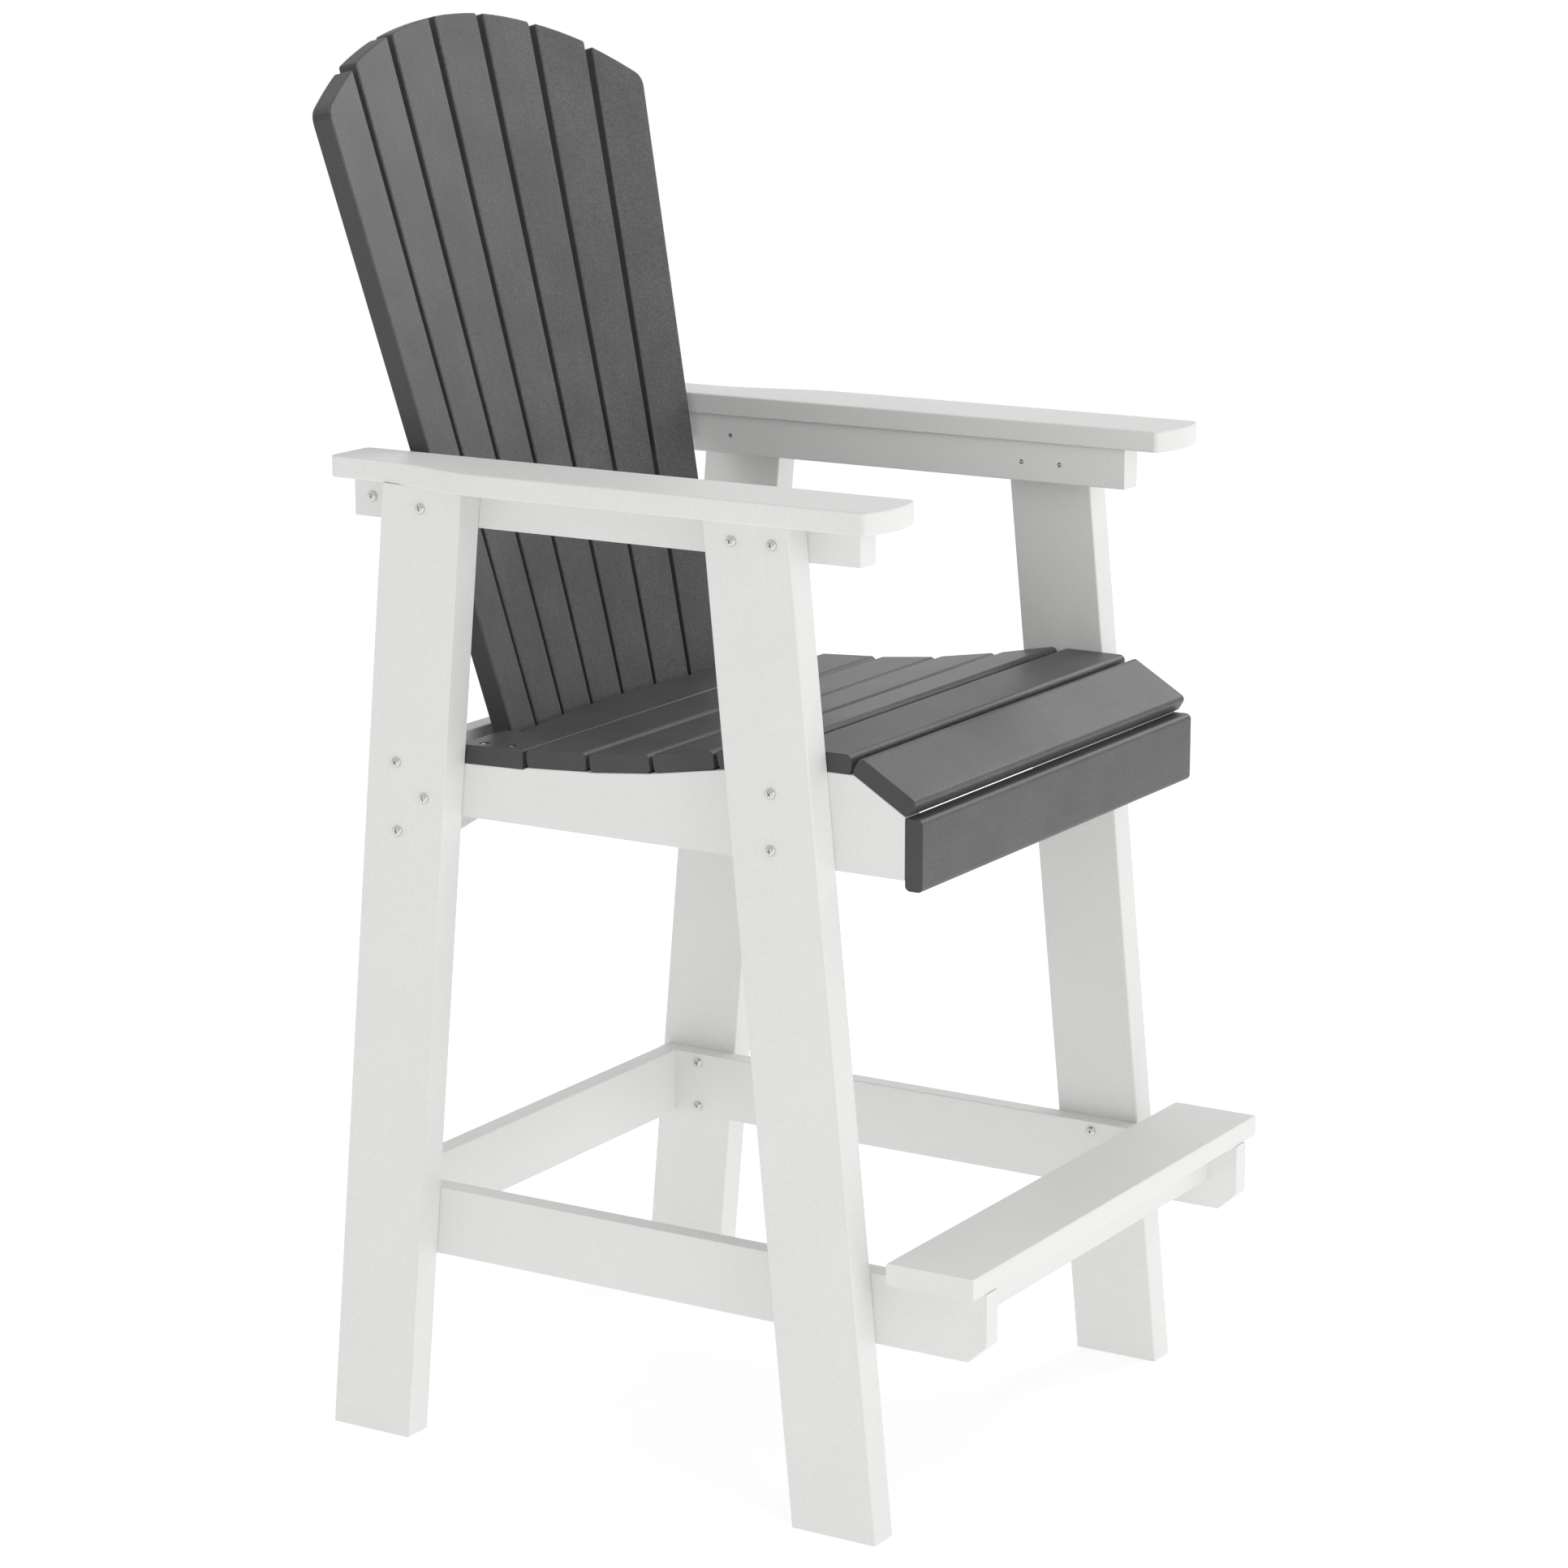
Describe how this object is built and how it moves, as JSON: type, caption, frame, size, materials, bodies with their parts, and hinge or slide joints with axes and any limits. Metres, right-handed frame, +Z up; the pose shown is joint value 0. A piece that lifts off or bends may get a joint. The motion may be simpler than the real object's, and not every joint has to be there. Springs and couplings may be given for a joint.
{
  "type": "patio bar stool",
  "caption": "Bar-height patio arm chair of plastic boards: fanned slat back, contoured slatted seat, splayed legs, lower frame with a footrest.",
  "frame": {"origin": "centre of the footprint box at floor height, with the leg bottoms at z = 0", "axes": "+Z up, the sitter faces -Y, +X towards the stool's right-hand side as seen from the front"},
  "size_m": [0.676, 0.8061, 1.4118],
  "materials": {
    "white_board": "matte white plastic lumber with a fine grain",
    "grey_board": "matte mid-grey plastic lumber with a fine grain",
    "screw_steel": "satin stainless steel"
  },
  "bodies": {
    "root": {"front_leg_left": "white_board", "front_leg_right": "white_board", "rear_leg_left": "white_board", "rear_leg_right": "white_board", "arm_rail_left": "white_board", "arm_rail_right": "white_board", "arm_left": "white_board", "arm_right": "white_board", "lower_side_rail_left": "white_board", "lower_side_rail_right": "white_board", "lower_rear_stretcher": "white_board", "footrest_board": "white_board", "footrest_apron": "white_board", "seat_rail_left": "white_board", "seat_rail_right": "white_board", "seat_board_1": "grey_board", "seat_board_2": "grey_board", "seat_board_3": "grey_board", "seat_board_4": "grey_board", "seat_board_5": "grey_board", "seat_board_6": "grey_board", "seat_nose_board": "grey_board", "seat_front_apron": "grey_board", "rear_cross_board": "white_board", "lower_back_support": "white_board", "upper_back_board": "white_board", "back_slat_1": "grey_board", "back_slat_2": "grey_board", "back_slat_3": "grey_board", "back_slat_4": "grey_board", "back_slat_5": "grey_board", "back_slat_6": "grey_board", "back_slat_7": "grey_board", "arm_rail_screws": "screw_steel", "cross_board_screws": "screw_steel", "seat_rail_screws": "screw_steel", "upper_back_board_screws": "screw_steel", "lower_rail_screws": "screw_steel", "stretcher_screws": "screw_steel", "seat_board_screws": "screw_steel", "rear_seat_board_screws": "screw_steel", "apron_screws": "screw_steel", "upper_slat_screws": "screw_steel", "lower_slat_screws": "screw_steel", "arm_screws": "screw_steel", "footrest_screws": "screw_steel", "footrest_apron_screws": "screw_steel"}
  },
  "joints": []
}
